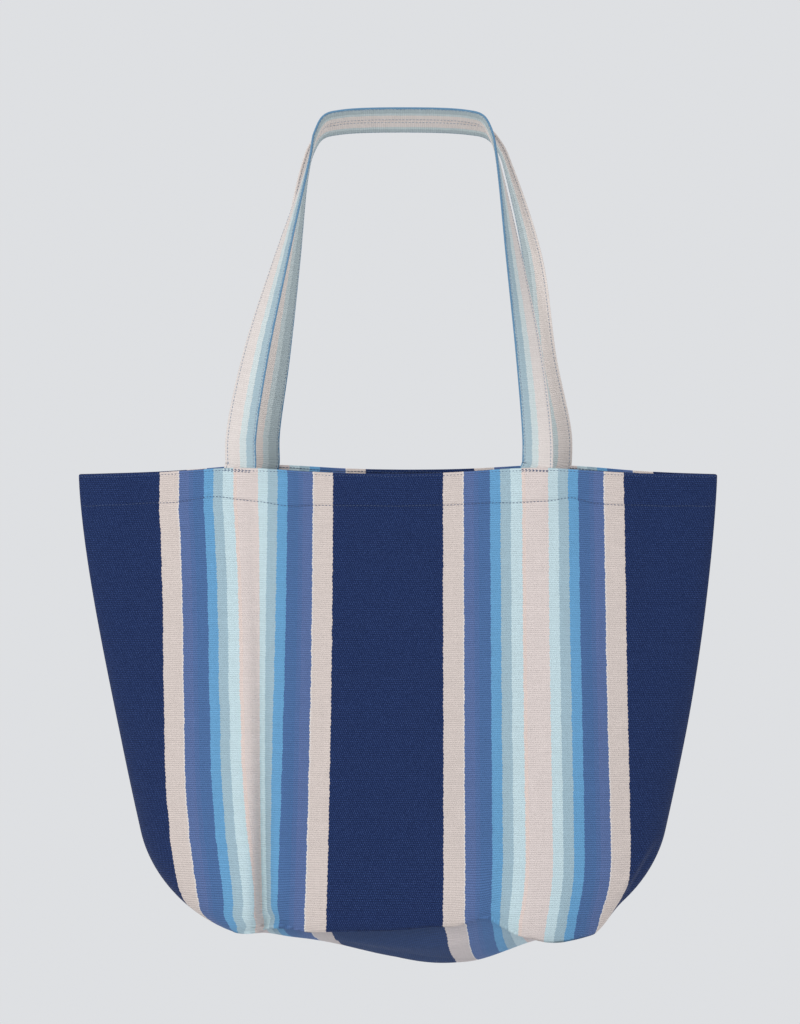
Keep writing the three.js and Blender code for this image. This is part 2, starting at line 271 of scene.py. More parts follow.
def seam_marks(side, x, t, s):
    """The proud hem with its sunk stitch lines, and the sunk corner seams."""
    down = t * BODY_HEIGHT
    below = down - hem_line(side, x)
    hem = HEM_PROUD * smooth((1.5 - below) / 2) - HEM_SUNK * bell(below, 1.1)
    hem -= MOUTH_SUNK * bell(down - MOUTH_ROW, 0.9)
    at_corner = smooth((np.abs(s) - CORNER_MARK) / 0.06)
    return hem - CORNER_SUNK * (at_corner * bell(down - CORNER_SEAM * BODY_HEIGHT, 1.8))


def corner_crease(x, t):
    """The front's fold over its right-hand corner: beyond the line the cloth drops back."""
    share = (t - CREASE_FROM[1]) / (CREASE_TO[1] - CREASE_FROM[1])
    line = CREASE_FROM[0] + (CREASE_TO[0] - CREASE_FROM[0]) * share
    shown = smooth(share / 0.35) * smooth((1.25 - share) / 0.3)
    return shown * (CREASE_RIDGE * bell(x - line + 2, 4) - CREASE_STEP * smooth((x - line) / 5))


def handle_prints(side, x, t):
    """The sewn-in ends of the handles show through the hem."""
    down = t * BODY_HEIGHT
    half = HANDLE_WIDTH / 2 + 1
    prints = [smooth((half - np.abs(x - foot_x(side, leg))) / 2.5) for leg in LEGS]
    return PRINT_HEIGHT * sum(prints) * smooth((HANDLE_END + 4 - down) / 5)


def relief(side, x, t, s):
    """How far a panel's cloth stands out from its plain outline."""
    out = undulation(side, x, t) + seam_marks(side, x, t, s) + handle_prints(side, x, t)
    for where, across, down, reach, drop, height in SWELLS:
        if where == side:
            out = out + height * bell(x - across, reach) * bell(t - down, drop)
    return out + pleat(x, t) + corner_crease(x, t) if side == FRONT else out


def fold_lift(side, x):
    """How much higher than straight a panel's bottom fold is."""
    if side == BACK:
        return BACK_LIFT * np.sin(x / BACK_LIFT_WAVE)
    return sum(height * bell(x - place, reach) for place, reach, height in FOLD_LIFTS)


def lifted(t):
    """The share of the fold's lift that a panel has at t."""
    return smooth((t - FOLD_LIFTED) / (1 - FOLD_LIFTED))


def surface(side, s, t):
    """The middle of a panel's cloth: s from -1 at the left seam to 1 at the right one."""
    half, deep, power = section(t)
    turn = np.pi / 2 * s
    x = half * np.sign(s) * np.abs(np.sin(turn)) ** (2 / power)
    hang = CORNER_HANG * np.clip((t - HANG_FROM) / (1 - HANG_FROM), 0, 1) ** 2
    x = x + hang * smooth((x / half - HANG_ACROSS) / 0.2)
    bulge = np.abs(np.cos(turn)) ** (2 / power)
    out = (deep - SIDE_GAP / 2) * bulge + relief(side, x, t, s) * (1 - (1 - bulge) ** 4)
    edge = mouth_edge(side, x)
    z = edge + (Z_FOLD - edge) * t + fold_lift(side, x) * lifted(t) * smooth(3 * bulge)
    lean = LEAN[0] + (LEAN[1] - LEAN[0]) * smooth(t / LEAN_DONE)
    return np.stack([x + lean + 0 * z, side * (SIDE_GAP / 2 + out), z], -1)


def unit(vectors):
    return vectors / np.maximum(np.linalg.norm(vectors, axis=-1, keepdims=True), 1e-9)


def wall(side, s, t, out=0.0):
    """A point off a panel's cloth, out along its outward normal, and that normal."""
    step = 0.003
    across = surface(side, np.minimum(s + step, 1), t) - surface(side, np.maximum(s - step, -1), t)
    down = surface(side, s, np.minimum(t + step, 1)) - surface(side, s, np.maximum(t - step, 0))
    normal = unit(np.cross(across, down)) * side
    return surface(side, s, t) + normal * out, normal


def across_at(x, t):
    """The s at which a panel's plain outline is at x."""
    half, _, power = section(t)
    share = np.minimum(1, np.abs(x) / half)
    return np.sign(x) * np.arcsin(share ** (power / 2)) * 2 / np.pi


# ---- meshes --------------------------------------------------------------------------
def finish_mesh(name, points, faces, material, weave=None):
    """An object of a closed mesh, with its faces turned outwards and shaded smooth."""
    mesh = bpy.data.meshes.new(name)
    mesh.from_pydata((np.asarray(points) * MM).tolist(), [], faces)
    if weave is not None:
        attribute = mesh.attributes.new("weave", "FLOAT_VECTOR", "POINT")
        attribute.data.foreach_set("vector", np.asarray(weave, np.float32).ravel())
    work = bmesh.new()
    work.from_mesh(mesh)
    bmesh.ops.recalc_face_normals(work, faces=work.faces)
    work.to_mesh(mesh)
    work.free()
    mesh.shade_smooth()
    mesh.materials.append(material)
    made = bpy.data.objects.new(name, mesh)
    bpy.context.scene.collection.objects.link(made)
    return made


def grid_normals(points):
    """The normal at each point of a grid."""
    across = np.gradient(points, axis=1)
    along = np.gradient(points, axis=0)
    return unit(np.cross(across, along))


def quads(a, b, c, d):
    """Faces of four corners each, from four arrays of corner numbers."""
    return np.stack([a, b, c, d], -1).reshape(-1, 4)


def shell(points, thickness):
    """Corners and faces of a grid of points thickened both ways and closed around its rim."""
    rows, cols = points.shape[:2]
    normals = grid_normals(points)
    corners = np.concatenate([points + normals * thickness / 2, points - normals * thickness / 2])
    over = np.arange(rows * cols).reshape(rows, cols)
    under = over + rows * cols
    faces = [quads(layer[:-1, :-1], layer[:-1, 1:], layer[1:, 1:], layer[1:, :-1])
             for layer in (over, under)]
    for edge in (np.s_[0, :], np.s_[-1, :], np.s_[:, 0], np.s_[:, -1]):
        top, low = over[edge], under[edge]
        faces.append(quads(top[:-1], top[1:], low[1:], low[:-1]))
    return corners.reshape(-1, 3), np.concatenate(faces).tolist()


def distances(points):
    """How far along a line of points each of them is."""
    steps = np.linalg.norm(np.diff(points, axis=0), axis=1)
    return np.concatenate([[0], np.cumsum(steps)])


def spaced(points, places, values=None):
    """Points at the given distances along a line of points, or the points' values there."""
    values = points if values is None else values
    along = distances(points)
    return np.stack([np.interp(places, along, values[:, k]) for k in range(3)], -1)


def line_length(points):
    """The length of a line of points."""
    return np.linalg.norm(np.diff(points, axis=0), axis=1).sum()


# ---- body cloth ----------------------------------------------------------------------
def even_columns(line):
    """The line at evenly spaced columns, closer at its ends, and each column's place from x = 0."""
    total = line_length(line)
    inner = np.linspace(COLUMNS_FROM, total - COLUMNS_FROM, COLUMNS)
    places = np.concatenate([COLUMN_ENDS, inner, total - COLUMN_ENDS[::-1]])
    points = spaced(line, places)
    middle = np.interp(0, points[:, 0], places)
    return points, places - middle


def rolled(points):
    """The row with its two ends turned into the side seams."""
    ends = []
    for end, sign in ((points[0], 1), (points[-1], -1)):
        ends.append([[end[0] + sign * back, end[1] * share, end[2]] for back, share in ROLL])
    return np.concatenate([ends[0][::-1], points, ends[1]])


def padded_ends(values):
    """The places across, with those of the points that rolled() adds."""
    outside = [back for back, _ in ROLL]
    left = [values[0] - back for back in outside[::-1]]
    return np.concatenate([left, values, [values[-1] + back for back in outside]])


def panel_row(side, t, reach=1.0, inset=0.0, rise=0.0):
    """A row of the cloth: its points, and for each its place across, its slack and its share of the
    base's painted sheen.

    The slack is how much further down the cloth a point lies than its row's middle.
    """
    line, _ = wall(side, np.linspace(-reach, reach, LINE_POINTS), t, -inset)
    line[:, 2] += rise
    points, places = even_columns(line)
    across = padded_ends(cloth_across(side, points[:, 0], places, t))
    points = rolled(points)
    slack = -fold_lift(side, points[:, 0]) * lifted(t)
    return points, across, slack, 0 * across


def cloth_across(side, x, places, t):
    """Where a column lies across the flat cloth, whose stripes spread a little lower down."""
    if side == BACK:
        return places - BACK_SHIFT
    gathered = places - GATHER * smooth((STRIPES_FROM - x) / GATHER_REACH) * (1 - t) ** 2
    gathered = gathered - np.interp(t, *PLEAT_HIDES) * smooth((PLEAT_BOTTOM + 2 - x) / 7)
    return SPREAD_FROM + (gathered - SPREAD_FROM) / (1 + SPREAD * t ** 2)


def hem_reach():
    """How far across a panel the hem's inside goes."""
    return across_at(HALF_MOUTH - HEM_SHORT, 0.0)


def hem_rows(side):
    """Rows from the hem's free edge up its inside, then over the mouth's edge."""
    rows = []
    for down in np.linspace(HEM + HEM_FREE, TURN_DEPTH, 12):
        rows.append(panel_row(side, down / BODY_HEIGHT, hem_reach(), HEM_INSET))
    for turn in np.linspace(np.pi, 0, 9)[1:-1]:
        inset = HEM_INSET / 2 * (1 - math.cos(turn))
        reach = 1 + (hem_reach() - 1) * inset / HEM_INSET
        rise = HEM_INSET / 2 * math.sin(turn)
        rows.append(panel_row(side, TURN_DEPTH / BODY_HEIGHT, reach, inset, rise))
    return rows


def panel_depths():
    """How far down a panel's rows are: closer at the hem's stitches and at the corner seam."""
    seam = CORNER_SEAM * BODY_HEIGHT
    parts = [
        np.linspace(TURN_DEPTH, 24, 12), np.linspace(25, 30, 11),
        np.linspace(33, seam - 7, 96), np.linspace(seam - 5, seam + 5, 9),
        np.linspace(seam + 7.5, BODY_HEIGHT, 10),
    ]
    return np.concatenate(parts)


def base_sag(x):
    """How far the base sags below the folds at its middle line."""
    reach = np.where(x < SAG_AT, SAG_LEFT, SAG_RIGHT)
    return SAG_DEPTH * bell(x - SAG_AT, reach) + BASE_DROP


def base_rows(front, back):
    """Rows of the base, from just behind the front's fold to just before the back's."""
    rows = []
    for q in -np.cos(np.linspace(0, np.pi, BASE_ROWS + 2))[1:-1]:
        share = (1 + q) / 2
        points = front[0] + (back[0] - front[0]) * share
        x, inwards = points[:, 0], (1 - abs(q)) * BASE_DEPTH / 2
        ends = np.clip(1 - np.abs(x / section(1.0)[0]) ** 3, 0, 1)
        lift = (np.exp(-(1 + q) / FOLD_SHARE) * fold_lift(FRONT, x)
                + np.exp(-(1 - q) / FOLD_SHARE) * fold_lift(BACK, x))
        lip = FOLD_LIP * inwards / LIP_REACH * math.exp(1 - inwards / LIP_REACH)
        crease = sum(height * bell(q - place + x / slant, reach)
                     for place, slant, reach, height in BASE_CREASES)
        drop = base_sag(x) * (1 - q * q) + crease * bell(x - CREASES_AT, CREASES_REACH) - lip
        points[:, 2] = Z_FOLD + (lift - drop) * ends
        across, slack = (front[k] + (back[k] - front[k]) * share for k in (1, 2))
        # the last value is the base's painted sheen, full a little behind each fold
        rows.append((points, across, slack, 0 * across + smooth((1 - abs(q)) / SHEEN_PAINT_REACH)))
    return rows


def body_rows():
    """All the cloth's rows, from the front hem's free edge to the back hem's."""
    front = [panel_row(FRONT, down / BODY_HEIGHT) for down in panel_depths()]
    back = [panel_row(BACK, down / BODY_HEIGHT) for down in panel_depths()]
    base = base_rows(front[-1], back[-1])
    return [*hem_rows(FRONT), *front, *base, *back[::-1], *hem_rows(BACK)[::-1]]


def lengthwise(points):
    """Each row's place along the cloth, measured down its middle column."""
    return distances(points[:, points.shape[1] // 2])


def make_body(material):
    rows = body_rows()
    points, across, slack, painted_sheen = (np.stack([row[k] for row in rows]) for k in range(4))
    along = lengthwise(points)[:, None] + slack
    weave = np.stack([across, along, painted_sheen], -1).reshape(-1, 3)
    corners, faces = shell(points, CLOTH)
    body = finish_mesh("body_cloth", corners, faces, material, np.concatenate([weave, weave]))
    hems_and_panels = [f"{name}_{part}" for name in SIDES.values() for part in ("panel", "hem")]
    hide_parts("base_panel", *hems_and_panels)
    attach(body, "bag")
    return body


# ---- handles -------------------------------------------------------------------------
def centripetal(points, steps=60):
    """A smooth line through the points: a centripetal Catmull-Rom curve, as three.js draws it."""
    points = np.asarray(points)
    padded = np.concatenate([[2 * points[0] - points[1]], points, [2 * points[-1] - points[-2]]])
    line = []
    for a, b, c, d in zip(padded[:-3], padded[1:-2], padded[2:-1], padded[3:]):
        first, middle, last = (np.linalg.norm(q - p) ** 0.5 for p, q in ((a, b), (b, c), (c, d)))
        leaving = ((b - a) / first - (c - a) / (first + middle) + (c - b) / middle) * middle
        arriving = ((c - b) / middle - (d - b) / (middle + last) + (d - c) / last) * middle
        w = np.linspace(0, 1, steps, endpoint=False)[:, None]
        bend = (2 * b - 2 * c + leaving + arriving) * w ** 3
        line.append(b + leaving * w + (3 * c - 3 * b - 2 * leaving - arriving) * w ** 2 + bend)
    return np.concatenate([*line, points[-1:]])


# Share of the way up a leg, and how far it bows outwards there.
BOWS = {
    (FRONT, -1): [(0.36, 8.5), (0.7, 5.0)], (FRONT, 1): [(0.36, 5.0), (0.7, 3.0)],
    (BACK, -1): [(0.36, 2.5), (0.7, 1.5)], (BACK, 1): [(0.36, 2.5), (0.7, 7.5)],
}
# Where a leg goes over its peg: out from the peg, and up.
CLOSE_WRAP = [(18.5, -35), (13.5, -15), (5.5, -1.5), (-8, 2.3)]
PEG_WRAP = {
    (FRONT, -1): CLOSE_WRAP, (FRONT, 1): CLOSE_WRAP,
    (BACK, -1): [(23.5, -35), (17.5, -15), (8.0, -1.5), (-6, 2.3)],
    (BACK, 1): [(29.5, -35), (22.0, -15), (10.5, -1.5), (-6, 2.3)],
}
CROWN_SHIFT = 3.0  # the straps lie a little to one side on their pegs


def handle_leg(side, leg):
    """Points up one leg of a handle, from the mouth's edge to its peg."""
    y = side * (HANDLE_WIDTH + CROWN_GAP) / 2
    z = -y * math.tan(CROWN_TILT)
    peg = PEG_SPACING / 2
    x = foot_x(side, leg)
    tuck, _ = wall(side, across_at(x, 0.0), 0.0, -HANDLE_INSET - STRAP_THICK / 2)
    foot = np.array([x, tuck[1], mouth_edge(side, x) + FOOT_RISE])
    wrap = [np.array([leg * (peg + out) + CROWN_SHIFT, y, z + up])
            for out, up in PEG_WRAP[side, leg]]
    bows = [foot + (wrap[0] - foot) * share + [leg * bow, 0, 0]
            for share, bow in BOWS[side, leg]]
    return [foot, foot + [0, 0, HANDLE_END], *bows, *wrap]


def handle_line(side):
    """The middle line of a handle's free part, from one foot over the pegs to the other."""
    y = side * (HANDLE_WIDTH + CROWN_GAP) / 2
    crown = [CROWN_SHIFT, y, -y * math.tan(CROWN_TILT) + CAD_STRAP / 2 + CROWN_ARCH]
    return centripetal([*handle_leg(side, -1), crown, *handle_leg(side, 1)[::-1]])


def sewn_end(side, leg):
    """The line of a handle's end down the inside of the hem, from its tip to the mouth's edge."""
    down = np.linspace(HANDLE_END + 2, TURN_DEPTH, 8) / BODY_HEIGHT
    x = np.full(8, foot_x(side, leg))
    return wall(side, across_at(x, down), down, -HANDLE_INSET - STRAP_THICK / 2)[0]


def strap_frames(side, pitch):
    """Points at even steps along a whole strap, its width and face directions, and its places."""
    free = handle_line(side)
    ends = sewn_end(side, -1), sewn_end(side, 1)[::-1]
    line = np.concatenate([ends[0], free, ends[1]])
    total, tail = line_length(line), line_length(np.concatenate([ends[0], free[:1]]))
    places = np.linspace(0, total, int(total / pitch))
    at = spaced(line, places)
    at[1:-1] = (at[:-2] + 2 * at[1:-1] + at[2:]) / 4
    tangent = unit(np.gradient(at, axis=0))
    share = np.clip((places - tail) / (total - 2 * tail), 0, 1)
    turned = np.pi / 2 * np.minimum(1, np.minimum(share, 1 - share) / TURN_DONE)
    inner = np.where(share < 0.5, 1, -1)
    width = np.stack([inner * np.cos(turned), side * np.sin(turned) * math.cos(CROWN_TILT),
                      -side * np.sin(turned) * math.sin(CROWN_TILT)], -1)
    width = unit(width - tangent * (width * tangent).sum(-1, keepdims=True))
    return at, width, np.cross(width, tangent) * -side, places


def strap_profile():
    """Across the strap: place, and half thickness with pressed stitch rows and round edges."""
    across = HANDLE_WIDTH / 2 * np.sin(np.linspace(-np.pi / 2, np.pi / 2, 45))
    round_edges = np.sqrt(1 - np.abs(across / (HANDLE_WIDTH / 2)) ** 10)
    pressed = STRAP_PRESSED * bell(np.abs(across) - STRAP_ROW, 0.9)
    return across, STRAP_THICK / 2 * round_edges * (1 - pressed)


def make_strap(side, material):
    """A whole handle, from one sewn-in end to the other, as one closed mesh."""
    at, width, face, places = strap_frames(side, 2.0)
    across, half = strap_profile()
    across = np.concatenate([across, across[-2:0:-1]])
    half = np.concatenate([half, -half[-2:0:-1]])
    points = at[:, None] + width[:, None] * across[:, None] + face[:, None] * half[:, None]
    rows, cols = points.shape[:2]
    ring = np.arange(rows * cols).reshape(rows, cols)
    after = np.roll(ring, -1, 1)
    faces = quads(ring[:-1], after[:-1], after[1:], ring[1:]).tolist()
    faces += [ring[0].tolist(), ring[-1].tolist()]
    weave = np.stack(np.broadcast_arrays(HANDLE_WIDTH / 2 - across, places[:, None], half < 0), -1)
    strap = finish_mesh(f"{SIDES[side]}_strap", points.reshape(-1, 3), faces, material, weave)
    ends = [f"{SIDES[side]}_{leg}_handle_end" for leg in LEGS.values()]
    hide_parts(f"{SIDES[side]}_handle", *ends)
    return bend_at_mouth(strap)


def bend_at_mouth(piece):
    """Bakes a piece's placing into its mesh."""
    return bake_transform(piece)


# ---- stitches ------------------------------------------------------------------------
# Along a stitch: place as a share of its length, and thickness and lift in thread radii.
STITCH_RINGS = [
    (-0.5, 0.4, -0.9), (-0.3, 0.9, 0.0), (0.0, 1.0, 0.15), (0.3, 0.9, 0.0), (0.5, 0.4, -0.9),
]
RING_POINTS = 6


def stitch_mesh(name, rows, material, radius=THREAD):
    """One mesh of small stitches. A row is (middles, directions, outward directions, length)."""
    middle, along, out = (np.concatenate([row[k] for row in rows]) for k in range(3))
    length = np.concatenate([np.full(len(row[0]), row[3]) for row in rows])[:, None, None, None]
    along = unit(along)
    out = unit(out - along * (out * along).sum(-1, keepdims=True))
    angle = np.arange(RING_POINTS) * 2 * np.pi / RING_POINTS
    place, size, lift = (np.array(column)[:, None, None] for column in zip(*STITCH_RINGS))
    spread = [direction[:, None, None] for direction in (middle, along, out, np.cross(along, out))]
    centre = spread[0] + spread[1] * place * length + spread[2] * lift * radius
    ring = spread[2] * np.cos(angle)[:, None] + spread[3] * np.sin(angle)[:, None]
    points = centre + ring * size * radius
    return finish_mesh(name, points.reshape(-1, 3), stitch_faces(len(middle)), material)


def stitch_faces(count):
    """The faces of that many stitches: their sides and two ends each."""
    rings = len(STITCH_RINGS)
    index = np.arange(count * rings * RING_POINTS).reshape(count, rings, RING_POINTS)
    after = np.roll(index, -1, 2)
    sides = quads(index[:, :-1], after[:, :-1], after[:, 1:], index[:, 1:])
    return [*sides.tolist(), *index[:, 0].tolist(), *index[:, -1].tolist()]


def row_on(line, out, start=1.0):
    """Stitches at even steps along a line of points on the cloth."""
    places = np.arange(start, line_length(line) - start, STITCH_PITCH)
    ahead = spaced(line, places + 0.5) - spaced(line, places - 0.5)
    return spaced(line, places), ahead, spaced(line, places, out), STITCH


def body_row(side, down, low, high, out, slant=0.0):
    """Stitches on a panel at one depth below the mouth, from low to high across it."""
    share = np.linspace(low, high, ROW_POINTS)
    tilt = slant * np.linspace(-0.5, 0.5, ROW_POINTS) + 0.3 * np.sin(share * 37 + down)
    if down == HEM:
        tilt += hem_line(side, surface(side, share, HEM / BODY_HEIGHT)[:, 0]) - HEM
    line, normal = wall(side, share, (down + tilt) / BODY_HEIGHT, out)
    return row_on(line, normal * np.sign(out))


def stitched_rows(side, down):
    """The same row on the outside of the panel and on the inside of the hem."""
    reach = hem_reach()
    outside = body_row(side, down, -ROW_ENDS, ROW_ENDS, CLOTH / 2)
    return [outside, body_row(side, down, -reach, reach, -(HEM_INSET + CLOTH / 2))]


def make_body_stitches(material):
    """The rows at the mouth and the hem, and the tacks over the handles' legs."""
    made = []
    for side, name in SIDES.items():
        for part, down in (("mouth", MOUTH_ROW), ("hem", HEM)):
            thread = stitch_mesh(f"{name}_{part}_thread", stitched_rows(side, down), material)
            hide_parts(f"{name}_{part}_stitching")
            made.append(thread)
        for leg, place in LEGS.items():
            made.append(make_tack(side, leg, f"{name}_{place}_tack", material))
    for thread in made:
        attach(thread, "bag")
    return made


def make_tack(side, leg, node, material):
    """Doubled stitches over a leg, a little out of line with the row along the mouth."""
    low, high = (across_at(foot_x(side, leg) + reach, 0.0) for reach in (-TACK_REACH, TACK_REACH))
    rows = [body_row(side, MOUTH_ROW + step, low, high, CLOTH / 2, TACK_SLANT)
            for step in (-0.6, 0.7)]
    inside = HEM_INSET + CLOTH / 2 + STRAP_THICK
    rows += [body_row(side, down, low, high, -inside - 0.6) for down in (MOUTH_ROW + 2, HEM - 6)]
    tack = stitch_mesh(f"{node}_thread", rows, material, TACK_THREAD)
    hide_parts(node)
    return tack


def make_strap_stitches(side, material):
    """A row near each edge of a handle, on both its faces."""
    at, width, face, _ = strap_frames(side, 1.0)
    height = STRAP_THICK / 2 * STRAP_ROW_HEIGHT
    made = []
    for row, edge in (("inner", 1), ("outer", -1)):
        line = at + width * edge * STRAP_ROW
        rows = [row_on(line + face * height * way, face * way, start=4.0) for way in (1, -1)]
        thread = stitch_mesh(f"{SIDES[side]}_strap_{row}_thread", rows, material, STRAP_THREAD)
        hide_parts(f"{SIDES[side]}_handle_{row}_stitching")
        made.append(bend_at_mouth(thread))
    return made


# ---- seams inside the bag ------------------------------------------------------------
def side_seam_grid(leg):
    """The turned-in edges of a side seam: rows down the seam, columns inwards."""
    depths = np.linspace(SIDE_SEAM_FROM, SIDE_SEAM_TO, 94)
    t, inwards = np.meshgrid(depths, np.linspace(0, 1, 6), indexing="ij")
    x = leg * (section(t)[0] - SIDE_GAP - CAD_CLOTH - SEAM_ALLOWANCE * inwards)
    edge = mouth_edge(FRONT, x)
    z = edge + (Z_FOLD - edge) * t
    wave = SEAM_WAVE * np.sin(z / 13 + leg) * inwards * smooth((t - 0.1) / 0.1)
    return np.stack([x, wave, z], -1)


def corner_seam_grid(leg):
    """The turned-in edges of the seam across a boxed corner, from the front to the back."""
    columns = []
    for along in np.linspace(-1, 1, 41):
        side = FRONT if along < 0 else BACK
        at = wall(side, leg * (1 - CORNER_REACH * abs(along)), CORNER_SEAM)[0]
        inwards = unit(np.array([-leg, -CORNER_TURN * along, 0.0]))
        insets = CAD_CLOTH + CORNER_INSET + np.linspace(0, SEAM_ALLOWANCE, 6)
        columns.append(at + inwards * insets[:, None] + [0, 0, 0.5 * math.sin(9 * along)])
    return np.stack(columns)


def overlock(grid, name, material, clear=0.0):
    """Slanted threads over the free edge of a seam allowance, on both its faces.

    There are none nearer than clear to the side seams, which are at y = 0.
    """
    edge, inner = grid[:, -1], grid[:, 2]
    normal = grid_normals(grid)[:, -2]
    rows = []
    for way in (1, -1):
        places = np.arange(2, line_length(edge) - 2, OVERLOCK_PITCH)
        outer = spaced(edge, places)
        back = spaced(inner, places * line_length(inner) / line_length(edge))
        zigzag = OVERLOCK_LEAN * (-1.0) ** np.arange(len(places))
        lean = unit(np.gradient(outer, axis=0)) * zigzag[:, None]
        out = spaced(edge + normal * 20, places) - spaced(edge, places)
        middle = (outer + back) / 2 + unit(out) * way * (CLOTH / 2 + 0.05)
        kept = np.abs(middle[:, 1]) >= clear
        across = (outer - back + lean)[kept]
        rows.append((middle[kept], across, (unit(out) * way)[kept], OVERLOCK_LENGTH))
    return stitch_mesh(name, rows, material, OVERLOCK_THREAD)


def make_seams(cloth, thread):
    """The allowances of the side and corner seams, each with its overlocking."""
    for leg, place in LEGS.items():
        for part, grid in (("side", side_seam_grid(leg)), ("corner", corner_seam_grid(leg))):
            corners, faces = shell(grid, CLOTH)
            weave = np.abs(grid[..., [0, 2, 1]]).reshape(-1, 3) * [1, 1, 0]
            weave = np.concatenate([weave, weave])
            allowance = finish_mesh(f"{place}_{part}_allowance", corners, faces, cloth, weave)
            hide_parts(f"{place}_{part}_seam")
            clear = CROSSING if part == "corner" else 0.0
            threads = overlock(grid, f"{place}_{part}_overlock", thread, clear)
            for piece in (allowance, threads):
                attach(piece, "bag")


# ---- materials -----------------------------------------------------------------------
def linear(name):
    """A named sRGB colour as the shader wants it."""
    share = [value / 255 for value in SRGB[name]]
    return [c / 12.92 if c <= 0.04045 else ((c + 0.055) / 1.055) ** 2.4 for c in share]


class Shader:
    """A material of one principled surface, and short ways to add nodes to it."""

    def __init__(self, name, roughness, sheen=0.0):
        self.material = bpy.data.materials.new(name)
        self.material.use_nodes = True
        self.tree = self.material.node_tree
        self.surface = self.tree.nodes["Principled BSDF"]
        self.surface.inputs["Roughness"].default_value = roughness
        self.surface.inputs["Specular IOR Level"].default_value = SHINE
        self.surface.inputs["Sheen Weight"].default_value = sheen
        self.surface.inputs["Sheen Roughness"].default_value = 0.5

    def put(self, socket, value):
        """Sets a socket to a value, or links it to another socket."""
        if isinstance(value, bpy.types.NodeSocket):
            self.tree.links.new(value, socket)
        else:
            socket.default_value = value

    def add(self, kind, *values, **settings):
        """A node with these settings, and these values in its first inputs."""
        node = self.tree.nodes.new(kind)
        for key, value in settings.items():
            setattr(node, key, value)
        for socket, value in zip(node.inputs, values):
            self.put(socket, value)
        return node

    def math(self, operation, *values):
        return self.add("ShaderNodeMath", *values, operation=operation).outputs[0]

    def vector(self, x, y, z=0.0):
        return self.add("ShaderNodeCombineXYZ", x, y, z).outputs[0]

    def noise(self, place, scale, detail=1.0):
        node = self.add("ShaderNodeTexNoise")
        self.put(node.inputs["Vector"], place)
        self.put(node.inputs["Scale"], scale)
        self.put(node.inputs["Detail"], detail)
        return node.outputs[0]

    def mix(self, share, first, second):
        """A colour between two. The Mix node's colour sockets are inputs 6 and 7 and output 2."""
        node = self.add("ShaderNodeMix", data_type="RGBA")
        for place, value in ((0, share), (6, first), (7, second)):
            self.put(node.inputs[place], value)
        return node.outputs[2]

    def scaled(self, colour, share):
        node = self.add("ShaderNodeVectorMath", operation="SCALE")
        self.put(node.inputs[0], colour)
        self.put(node.inputs["Scale"], share)
        return node.outputs[0]

    def attribute(self):
        """The mesh's weave attribute: across, along, and the base's painted sheen on the body, the
        strap's reverse on a handle.
        """
        node = self.add("ShaderNodeAttribute", attribute_name="weave")
        return self.add("ShaderNodeSeparateXYZ", node.outputs["Vector"]).outputs

    def finish(self, colour, height, depth):
        """The material, with its colour and its bump."""
        bump = self.add("ShaderNodeBump")
        bump.inputs["Strength"].default_value = 0.8
        bump.inputs["Distance"].default_value = depth
        self.put(bump.inputs["Height"], height)
        self.put(self.surface.inputs["Normal"], bump.outputs[0])
        self.put(self.surface.inputs["Base Color"], colour)
        return self.material


def stripe_ramp(shader, stripes, place):
    """Bands of colour over 0 to 1. Its alpha is how strongly the weave shows in each."""
    ramp = shader.add("ShaderNodeValToRGB", place)
    ramp.color_ramp.interpolation = "CONSTANT"
    elements = ramp.color_ramp.elements
    total, start = sum(width for _, width in stripes), 0.0
    for k, (name, width) in enumerate(stripes):
        element = elements[k] if k < 2 else elements.new(start / total)
        element.position = start / total
        element.color = [*linear(name), WEAVE_SHOWS.get(name, 0.0)]
        start += width
    return ramp.outputs[0], ramp.outputs[1]


def ribs(shader, u, v):
    """Weft ribs: how deep in the valley between two ribs, a number for each rib, and warp."""
    turn = shader.math("MULTIPLY", v, 2 * math.pi / RIB)
    wave = shader.math("MULTIPLY_ADD", shader.math("COSINE", turn), 0.5, 0.5)
    valley = shader.math("POWER", wave, 2.0)
    number = shader.math("FLOOR", shader.math("DIVIDE", v, RIB))
    shifted = shader.math("MULTIPLY_ADD", number, 0.37, shader.math("DIVIDE", u, WARP))
    warp = shader.math("SINE", shader.math("MULTIPLY", shifted, 2 * math.pi))
    return valley, number, warp


def ragged(shader, u, v, number):
    """The place across the cloth, stepping in and out from rib to rib and wandering slowly."""
    step = shader.math("PINGPONG", number, 1.0)
    slow = shader.vector(shader.math("DIVIDE", u, 60.0), shader.math("DIVIDE", v, 9.0))
    wander = shader.noise(slow, 1.0)
    moved = shader.math("MULTIPLY_ADD", step, RAGGED_STEP, u)
    aside = shader.math("MULTIPLY_ADD", wander, RAGGED_WANDER, RAGGED_BACK)
    return shader.math("ADD", moved, aside)


def streaks(shader, u, v, number):
    """Uneven yarns: each rib a little lighter or darker, with faint lines down the cloth."""
    yarn = shader.vector(shader.math("DIVIDE", u, 22.0), shader.math("MULTIPLY", number, 3.7))
    across = shader.noise(yarn, 1.0, 2.0)
    lines = shader.vector(shader.math("MULTIPLY", u, 0.9), shader.math("DIVIDE", v, 70.0))
    down = shader.noise(lines, 1.0)
    speckle = shader.noise(shader.vector(u, v), 0.9, 2.0)
    tone = shader.math("MULTIPLY_ADD", across, YARN_TONE, BASE_TONE)
    tone = shader.math("MULTIPLY_ADD", down, LINE_TONE, tone)
    return shader.math("MULTIPLY_ADD", speckle, SPECKLE_TONE, tone), speckle


def flecks(shader, u, v):
    """Rare dark slubs, 1 where there is one."""
    spots = shader.noise(shader.vector(shader.math("MULTIPLY", u, 0.75), v), 1.0)
    return shader.math("GREATER_THAN", spots, SLUB_LEVEL)


